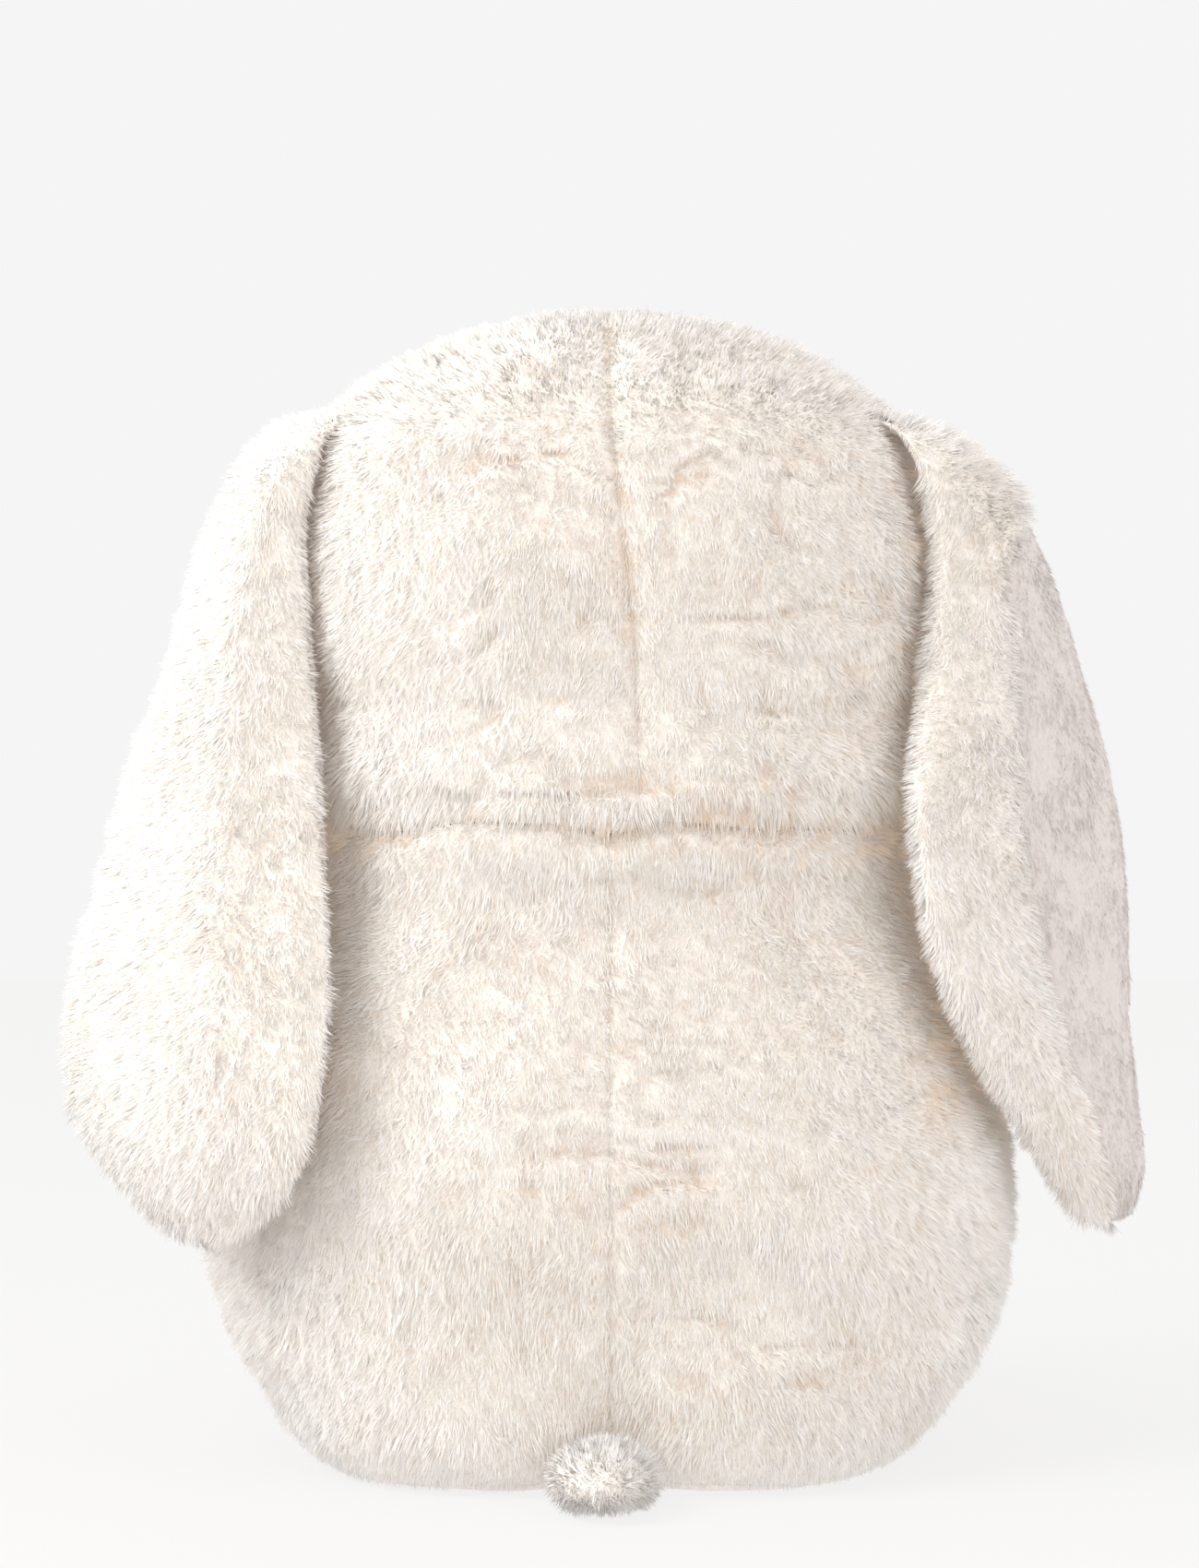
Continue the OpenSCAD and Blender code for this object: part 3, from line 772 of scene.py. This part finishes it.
def base_panel():
    """Flat oval of fabric under the toy, its rim tucked up to the torso's first ring."""
    rim = torso.p[0]
    shares = np.array([1.0, 0.985, 0.95, 0.8, 0.6, 0.4, 0.2, 0.0])[:, None, None]
    p = rim * [1, 1, 0] * shares + [0, 0, 1.0 * MM]
    p[..., 2] += rim[..., 2] * 0.6 * (shares[..., 0] > 0.99)
    p[..., 2] += (lumps(p, 18 * MM)[..., 0] * 0.3 * MM)
    mesh = sheet_mesh("base_panel_fabric", p, p + [0, 0, FABRIC], True)
    stand_for("base_panel", "base_panel_fabric", mesh, backing, "torso")


base_panel()
BAG_CLEAR = 31 * MM         # height that is clear of the pellet bag
torso_z, head_z = torso.p[:, 0, 2], head.p[:, 0, 2]
above_bag = (torso_z > BAG_CLEAR) & (torso_z < NECK - 11 * MM)         # clear of the head as it turns
above_neck = (head_z > NECK + 25 * MM) & (head_z < CROWN - 5 * MM)   # clear of the neck as it nods
filling("body_filling", inner_side(torso, 1 * MM)[above_bag], "torso", "body_stuffing")
filling("head_filling", inner_side(head, 1 * MM)[above_neck], "head", "head_stuffing")


def pouch():
    """Flat bag of pellets, plump between its two sewn sides."""
    half, middle, height = 68 * MM, 17 * MM, 10 * MM
    a = np.radians(np.arange(-90, 91, 7.5))
    outline = np.stack([half * np.cos(a) ** 0.35, middle + height * np.sin(a)], 1)
    p = inflate(rings_of(even(outline, 30)), [CENTRE_SEAM], 3 * MM)
    filling("pellet_pouch", p[1:-1], "torso", "pellet_bag", pellet_cloth)


pouch()


def neck_filling():
    outline = np.array([[SEAM_RING - 8 * MM, NECK + 1 * MM], [SEAM_RING - 6 * MM, NECK + 3 * MM],
                        [0.5 * SEAM_RING, NECK + 6.5 * MM], [0.1 * SEAM_RING, NECK + 8 * MM]])
    filling("neck_filling", rings_of(even(spline(outline), 18)), "neck", "neck_stuffing")


neck_filling()

# ---------------- face
AROUND = np.radians(np.arange(0, 360, 5.0))


def muzzle_skin():
    share = np.sin(np.radians(np.linspace(90, 0, 30)))[:, None]
    x = MUZZLE_RADIUS * share * np.cos(AROUND)
    z = MUZZLE[2] + MUZZLE_RADIUS * share * np.sin(AROUND)
    rise = 13.0 * MM * (1 - share**2) ** 0.6
    lobes = sum(bell(x - side * 11 * MM, 9 * MM) for side in SIDES.values())
    lobes = lobes * bell(z - MUZZLE[2] + 7 * MM, 9 * MM)
    cleft = bell(x, 2.6 * MM) * smooth(MUZZLE[2] - z, -3 * MM, 3 * MM)
    y = -face_depth(x, z) - rise + 0.8 * MM - (3.2 * lobes - 2.6 * cleft) * MM * (1 - share**4)
    p = np.stack([x, y, z], -1)
    nose = MUZZLE + [0, -12 * MM, 7 * MM]
    length = PILE_LENGTH["muzzle"] * (0.45 + 0.55 * smooth(share * MUZZLE_RADIUS, 4 * MM, 16 * MM))
    return Skin(p, unit(p - nose) + [0, 0.3, -0.2], length + 0 * x)


muzzle = muzzle_skin()
MUZZLE_TIP = MUZZLE[1] - 13.5 * MM   # where the stitching lies


def spared_muzzle(root):
    """Keeps the pile out from under the nose and the mouth stitches."""
    x, z = np.abs(root[:, 0]), root[:, 2] - MUZZLE[2]
    on_nose = (x < 7 * MM) & (z > 3 * MM) & (z < 12.5 * MM)
    on_mouth = ((x < 1.2 * MM) & (z > -6 * MM) & (z < 4 * MM)) | (
        (x < 9 * MM) & (np.abs(z + 5 * MM + x * 0.4) < 1.2 * MM))
    return ~(on_nose | on_mouth)


fabric("muzzle_panel", muzzle, "head")
pile("muzzle_panel_pile", muzzle, "head", 120, DENSITY["muzzle"], keep=spared_muzzle, wander=0.2,
     clump=0.8 * MM)


def tube(path, radius, sides=8):
    """Rings of a thread that tapers to a point at both ends of its path."""
    path = np.asarray(path, float)
    along = unit(np.gradient(path, axis=0))
    across = unit(np.cross(along, [0.31, 0.93, 0.17]))
    over = np.cross(along, across)
    a = np.linspace(0, 2 * math.pi, sides, endpoint=False)
    share = np.sin(np.linspace(0.12, math.pi - 0.12, len(path)))[:, None, None] ** 0.4
    ring = across[:, None] * np.cos(a)[None, :, None] + over[:, None] * np.sin(a)[None, :, None]
    return path[:, None] + ring * radius * share


def threads(name, paths, radius, replaced):
    """Embroidery made of separate threads, joined as one piece."""
    verts, faces, count = [], [], 0
    for path in paths:
        points, groups = solid_parts(tube(path, radius))
        verts.append(points)
        for group in groups:
            faces.append(group + count)
        count += len(points)
    mesh = closed_mesh(name, np.concatenate(verts), faces)
    stand_for(replaced, name, mesh, thread, "head")


def nose_paths():
    """Upright satin stitches side by side over a padded triangle."""
    paths = []
    t = np.linspace(0, 1, 9)[:, None]
    for x in np.linspace(-7.4, 7.4, 23):
        share = abs(x) / 7.4
        top = 12.2 - 1.6 * share**3
        bottom = 3.2 + 5.6 * share**0.9
        bulge = 2.4 * (1 - share**2) ** 0.5
        ends = np.array([[x, 0.4, top], [x * 0.9, 0.4, bottom]])
        path = ends[0] * (1 - t) + ends[1] * t
        path[:, 1] -= (np.sin(np.pi * t[:, 0]) ** 0.5) * bulge
        paths.append(path * MM + [0, MUZZLE_TIP, MUZZLE[2]])
    return paths


def mouth_paths():
    """One upright stitch and a curved one to each side, each laid twice."""
    t = np.linspace(0, 1, 13)
    paths = []
    for shift in (-0.35, 0.35):
        upright = np.stack([0 * t + shift, 0.4 - 1.4 * np.sin(np.pi * t) ** 0.6, 4.0 - 9.0 * t], 1)
        paths.append(upright)
        for side in SIDES.values():
            bend = np.stack([side * 8.6 * t, 0.6 + 1.4 * t - 1.6 * np.sin(np.pi * t) ** 0.6,
                             -4.8 - 4.4 * np.sin(t * 1.9) + shift], 1)
            paths.append(bend)
    return [path * MM + [0, MUZZLE_TIP, MUZZLE[2]] for path in paths]


threads("nose_thread", nose_paths(), 0.48 * MM, "nose_stitching")
threads("mouth_thread", mouth_paths(), 0.50 * MM, "mouth_stitching")


def eyes():
    """Smooth plastic domes on shanks, at the places of the CAD's eyes."""
    radius = 6.5 * MM
    a = np.radians(np.arange(0, 91, 6.0))
    outline = np.concatenate([
        [[2.25 * MM, -9 * MM], [2.25 * MM, 0], [radius - 0.6 * MM, 0]],
        np.stack([radius * np.cos(a), 0.8 * MM + 4.2 * MM * np.sin(a)], 1)])
    for name, side in SIDES.items():
        depth = HEAD_HALF * DEPTH * math.sqrt(1 - (EYE_OUT / HEAD_HALF) ** 2)
        out = unit(np.array([side * EYE_OUT / HEAD_HALF**2, -depth / (HEAD_HALF * DEPTH) ** 2, 0]))
        across = np.cross([0, 0, 1], out)
        turn = np.radians(np.arange(0, 360, 7.5))
        r, h = outline[:, :1, None], outline[:, 1:, None]
        centre = np.array([side * EYE_OUT, -depth, EYE_Z]) + out * 0.2 * MM
        p = centre + out * h + r * (across * np.cos(turn)[None, :, None]
                                    + np.array([0, 0, 1]) * np.sin(turn)[None, :, None])
        mesh = closed_mesh(f"eye_{name}_dome", *solid_parts(p))
        stand_for(f"eye_{name}", f"eye_{name}_dome", mesh, eye_plastic, "head")
        washer = frame["nodes"][f"eye_washer_{name}"]
        washer.data.materials.clear()
        washer.data.materials.append(washer_plastic)


eyes()

# ---------------- ears
# Sections down an ear: [out, back, height, width share, thickness share], in mm and shares. They are the
# CAD's, moved a few millimetres nearer to the body, because soft ears lean on it.
SECTION_SCALE = [1, 1, 1, 40, 10]        # makes a section's shares count beside its places
EAR_SECTIONS = {
    "left": [
        [89, 44, 304, 0.24, 0.48], [98, 47, 289, 0.31, 0.72], [105, 46, 268, 0.39, 0.88],
        [109, 50, 228, 0.58, 1.00], [114, 55, 184, 0.80, 1.00], [118, 66, 140, 1.00, 1.00],
        [118, 78, 106, 0.90, 0.92], [115, 83, 86, 0.64, 0.75], [113, 85, 72, 0.26, 0.42]],
    "right": [
        [90, 41, 304, 0.24, 0.48], [104, 41, 290, 0.38, 0.72], [113, 38, 268, 0.48, 0.88],
        [118, 38, 232, 0.72, 1.00], [120, 43, 190, 0.96, 1.00], [125, 43, 150, 0.90, 1.00],
        [132, 42, 122, 0.74, 0.97], [139, 40, 102, 0.58, 0.90], [144, 38, 86, 0.44, 0.78],
        [147, 36, 73, 0.26, 0.42]],
}
EAR_ROOT = [70, 34, 309, 0.18, 0.40]     # inside the head, so that the ear grows out of it
EAR_TURN = {"left": 36, "right": 46}     # of the flat side away from straight back, in degrees
EAR_TWIST = {"left": 0, "right": 106}    # of all but the root, which turns half of the lining backwards
EAR_FOLD = {"left": 108, "right": 14}    # where the long fold runs, in degrees round the ear
EAR_HALF_WIDTH = 50                      # in mm, as the thickness is
EAR_HALF_THICKNESS = 14
EAR_COLUMNS = 48
EAR_ROWS = 84


def ear_skin(name):
    side = SIDES[name]
    s = even(spline([EAR_ROOT] + EAR_SECTIONS[name]) * SECTION_SCALE, EAR_ROWS) / SECTION_SCALE
    s[:, :2] -= [[1, 2]] * bell(s[:, 2:3] - 245, 45)    # the soft ear leans on the head
    half_width = s[:, 3] * EAR_HALF_WIDTH
    half_thick = s[:, 4] * EAR_HALF_THICKNESS
    half_width = np.maximum(half_width - 1.6, half_width * 0.6)[:, None]
    half_thick = np.maximum(half_thick - 3.0, half_thick * 0.5)[:, None]
    turn = math.radians(EAR_TURN[name])
    degrees = np.arange(EAR_COLUMNS) * 360 / EAR_COLUMNS
    a = np.radians(degrees)[None] + np.radians(EAR_TWIST[name]) * smooth(-s[:, 2:3], -300, -258)
    along, across = half_width * np.cos(a), half_thick * np.sin(a)
    p = np.stack([side * (s[:, :1] + along * math.cos(turn) + across * math.sin(turn)),
                  s[:, 1:2] - along * math.sin(turn) + across * math.cos(turn),
                  s[:, 2:3] + 0 * a], -1) * MM
    top = p[:1].mean(1, keepdims=True) + [0, 0, 1.5 * MM]
    tip = p[-1:].mean(1, keepdims=True) - [0, 0, 2 * MM]
    p = np.concatenate([top + 0 * p[:1], p, tip + 0 * p[:1]])
    p = inflate(p, [0, EAR_COLUMNS // 2], 3 * MM)
    n = normals(p, True)
    fold = bell(degrees - EAR_FOLD[name], 15) * 2.4 * MM
    body = smooth(np.arange(len(p)), 8, 20) * smooth(-np.arange(len(p)), 4 - len(p), 14 - len(p))
    rise = (fold + lumps(p, 26 * MM)[..., 0] * 1.5 * MM) * body[:, None]
    p = p + n * rise[..., None]
    down = np.gradient(p, axis=0)
    spread = p - p.mean(1, keepdims=True)
    lining_side = degrees > 180
    length = np.where(lining_side, PILE_LENGTH["ear_lining"], PILE_LENGTH["body"]) + 0 * p[..., 0]
    return Skin(p, unit(down) + 0.45 * unit(spread) * ~lining_side[:, None], length)


for seed, name in enumerate(SIDES):
    skin = ear_skin(name)
    place = f"ear_{name}_skin"
    outer, lining = skin.halves(0)
    fabric(f"ear_outer_{name}", outer, place)
    fabric(f"ear_lining_{name}", lining, place, lining_cloth)
    pile(f"ear_outer_{name}_pile", outer, place, 130 + seed, DENSITY["ear"])
    pile(f"ear_lining_{name}_pile", lining, place, 140 + seed, DENSITY["lining"], BLUSH_AND_SHADE,
         width=0.5 * MM, lift=22, wander=0.16, clump=0.6 * MM)
    wadding = inner_side(skin, 0.3 * MM)[8:-8]
    filling(f"ear_wadding_{name}_fill", wadding, f"ear_{name}", f"ear_wadding_{name}")


# ---------------- arms, legs and tail
def round_form(start, axis, outline, columns):
    """Rings round an axis, from a (radius, distance) outline."""
    axis = unit(np.asarray(axis, float))
    flat = math.hypot(axis[0], axis[1])
    tilt, spin = math.atan2(flat, axis[2]), math.atan2(axis[1], axis[0])
    first = np.array([math.cos(spin) * math.cos(tilt), math.sin(spin) * math.cos(tilt), -math.sin(tilt)])
    second = np.array([-math.sin(spin), math.cos(spin), 0])
    a = np.radians(np.arange(columns) * 360 / columns)
    r, d = outline[:, :1, None], outline[:, 1:, None]
    return start + axis * d + r * (first * np.cos(a)[None, :, None] + second * np.sin(a)[None, :, None])


def arc(radius, centre, start, end, step=10):
    a = np.radians(np.arange(start, end + step / 2, step))
    return np.stack([radius * np.cos(a), centre + radius * np.sin(a)], 1)


LIMB_ROOM = 4.2 * MM        # how far a limb's fabric lies inside the CAD surface
LIMB_GAP = 0.4 * MM         # between a limb's fabric and its filling
LIMB_COLUMNS = 48
QUARTER = LIMB_COLUMNS // 4


def arms():
    for seed, (name, side) in enumerate(SIDES.items()):
        shoulder = pivot(f"arm_{name}_raise")
        reach = np.array([-17 * side, -46, -56]) * MM
        length = np.linalg.norm(reach)
        outline = np.concatenate([arc(19 * MM - LIMB_ROOM, 0, -90, 0),
                                  arc(22 * MM - LIMB_ROOM, length, 0, 90)])
        outline[[0, -1], 0] = 0
        start = shoulder + np.array([-2 * side, 4.5, 0]) * MM       # pressed against the torso
        form = round_form(start, reach, even(outline, 40), LIMB_COLUMNS)
        form = inflate(form, [QUARTER, 3 * QUARTER], 2 * MM)
        n = normals(form, True)
        form = form + n * (lumps(form, 17 * MM) * 1.2 * MM)
        skin = Skin(form, unit(reach) + 0 * form, PILE_LENGTH["limb"])
        halves = skin.halves(QUARTER if side == LEFT else 3 * QUARTER)
        for k, (half, strip) in enumerate(zip(("outer", "inner"), halves)):
            fabric(f"arm_{half}_{name}", strip, f"arm_{name}")
            pile(f"arm_{half}_{name}_pile", strip, f"arm_{name}", 150 + 2 * seed + k, DENSITY["limb"],
                 wander=0.3)
        inner = inner_side(skin, LIMB_GAP)[1:-1]
        filling(f"arm_filling_{name}", inner, f"arm_{name}", f"arm_stuffing_{name}")


def legs():
    for seed, (name, side) in enumerate(SIDES.items()):
        hip = pivot(f"leg_{name}_raise") + [0, 4 * MM, 0]           # pressed against the torso
        reach = np.array([5 * side, -38, 5]) * MM
        length = np.linalg.norm(reach)
        foot = 33 * MM - LIMB_ROOM
        outline = np.concatenate([
            arc(28.5 * MM - LIMB_ROOM, 0, -90, 0),
            np.array([[foot, length - 5 * MM], [foot, length]]),
            arc(6 * MM, length, 0, 90, 15) + [foot - 6 * MM, 0],
            np.array([[22.3 * MM, length + 5.4 * MM]])])
        outline[0, 0] = 0
        form = round_form(hip, reach, even(outline, 44), LIMB_COLUMNS)
        n = normals(form, True)
        form = form + n * (lumps(form, 20 * MM) * 1.3 * MM)
        skin = Skin(form, unit(reach) + [0, 0, -0.2] + 0 * form, PILE_LENGTH["limb"])
        fabric(f"leg_panel_{name}", skin, f"leg_{name}")
        pile(f"leg_panel_{name}_pile", skin, f"leg_{name}", 160 + seed, DENSITY["limb"], wander=0.3)
        share = np.linspace(1, 0, 14)
        pad_outline = np.stack([22.6 * MM * share, length + 4.6 * MM + 2.2 * MM * (1 - share**4)], 1)
        pad_form = round_form(hip, reach, pad_outline, LIMB_COLUMNS)
        pad = Skin(pad_form, DOWN + 0 * pad_form, PILE_LENGTH["foot_pad"])
        if np.sum(pad.n[5] * unit(reach)) < 0:
            pad.n = -pad.n
        fabric(f"foot_pad_{name}", pad, f"leg_{name}", lining_cloth)
        pile(f"foot_pad_{name}_pile", pad, f"leg_{name}", 170 + seed, DENSITY["lining"], BLUSH_AND_SHADE,
             width=0.5 * MM, lift=26, wander=0.2, clump=0.6 * MM)
        inner = inner_side(skin, LIMB_GAP)[1:-4]
        filling(f"leg_filling_{name}", inner, f"leg_{name}", f"leg_stuffing_{name}")


def tail():
    root = pivot("tail_raise")
    length = corners("tail_upper")[1][1] - root[1]
    a = np.radians([-66, -50, -30, -10, 10, 30, 50, 66, 76])
    radius = 14 * MM * np.cos(a) * (1 - 0.1 * np.sin(a))
    outline = np.stack([np.maximum(radius, 2 * MM), length * (1 + np.sin(a)) / 2 - 3 * MM], 1)
    outline = np.concatenate([[[0, 0]], outline, [[0, length - 4 * MM]]])
    form = round_form(root, [0, 1, 0], even(spline(outline, 4), 34), LIMB_COLUMNS)
    form[..., 2] = root[2] - 4.5 * MM + (form[..., 2] - root[2]) * 0.58
    form = form + normals(form, True) * (lumps(form, 12 * MM) * 1.0 * MM)
    # Shade below 0 is painted light: the tail's strands take only the lighter tones, against the shadow that
    # the torso casts on it.
    skin = Skin(form, np.array([0, 1.0, -0.15]) + 0 * form, PILE_LENGTH["tail"], shade=-0.4)
    middle = form[len(form) // 2]
    seam = (np.argmax(middle[:, 2]) - QUARTER) % LIMB_COLUMNS     # a quarter turn before the top
    for seed, (half, strip) in enumerate(zip(("upper", "lower"), skin.halves(seam))):
        fabric(f"tail_{half}", strip, "tail")
        pile(f"tail_{half}_pile", strip, "tail", 180 + seed, DENSITY["tail"], width=0.6 * MM, lift=50,
             wander=0.6, clump=1.3 * MM)
    filling("tail_filling", inner_side(skin, LIMB_GAP)[2:-2], "tail", "tail_stuffing")


arms()
legs()
tail()

# ---------------- floor, light and camera
BACKGROUND = (0.913, 0.913, 0.913)


def floor():
    m = bpy.data.materials.new("floor")
    m.use_nodes = True
    tree = m.node_tree
    tree.nodes.clear()
    glow = node(tree, "ShaderNodeEmission", Color=(*BACKGROUND, 1), Strength=0.86)
    matt = node(tree, "ShaderNodeBsdfDiffuse", Color=(0.12, 0.117, 0.115, 1))
    both = node(tree, "ShaderNodeAddShader")
    out = node(tree, "ShaderNodeOutputMaterial")
    tree.links.new(glow.outputs[0], both.inputs[0])
    tree.links.new(matt.outputs[0], both.inputs[1])
    tree.links.new(both.outputs[0], out.inputs["Surface"])
    a = np.linspace(0, 2 * math.pi, 96, endpoint=False)
    mesh = bpy.data.meshes.new("floor")
    mesh.from_pydata(np.stack([3 * np.cos(a), 3 * np.sin(a), 0 * a], 1).tolist(), [], [list(range(96))])
    add_object("floor", mesh, [m])


def lamp(name, place, size, power, colour):
    light = bpy.data.lights.new(name, "AREA")
    light.shape, light.size = "DISK", size
    light.energy, light.color = power, colour
    lamp_object = bpy.data.objects.new(name, light)
    lamp_object.location = place
    bpy.context.scene.collection.objects.link(lamp_object)
    direction = Vector((0, 0, 0.19)) - lamp_object.location
    lamp_object.rotation_euler = direction.to_track_quat("-Z", "Y").to_euler()


def surroundings():
    world = bpy.data.worlds.new("studio")
    bpy.context.scene.world = world
    world.use_nodes = True
    tree = world.node_tree
    tree.nodes.clear()
    seen = node(tree, "ShaderNodeBackground", Color=(*BACKGROUND, 1), Strength=1.0)
    glow = node(tree, "ShaderNodeBackground", Color=(1.0, 0.985, 0.970, 1), Strength=1.03)
    pick = node(tree, "ShaderNodeMixShader")
    path = node(tree, "ShaderNodeLightPath")
    out = node(tree, "ShaderNodeOutputWorld")
    tree.links.new(path.outputs["Is Camera Ray"], pick.inputs["Fac"])
    tree.links.new(glow.outputs[0], pick.inputs[1])
    tree.links.new(seen.outputs[0], pick.inputs[2])
    tree.links.new(pick.outputs[0], out.inputs["Surface"])


def camera():
    """Level, behind the toy, with a long lens."""
    cam = bpy.data.cameras.new("camera")
    cam.lens = 94.5
    holder = bpy.data.objects.new("camera", cam)
    holder.location = (2.8 * MM, 1.25, NECK + 16 * MM)
    holder.rotation_euler = (math.radians(90), 0, math.radians(180))
    bpy.context.scene.collection.objects.link(holder)
    bpy.context.scene.camera = holder


floor()
surroundings()
lamp("key", (0.90, 0.60, 0.95), 1.0, 12, (1.0, 0.99, 0.97))
lamp("fill", (-0.9, 0.9, 0.4), 1.2, 3.2, (1.0, 0.94, 0.95))
camera()
bpy.context.scene.view_settings.view_transform = "Standard"
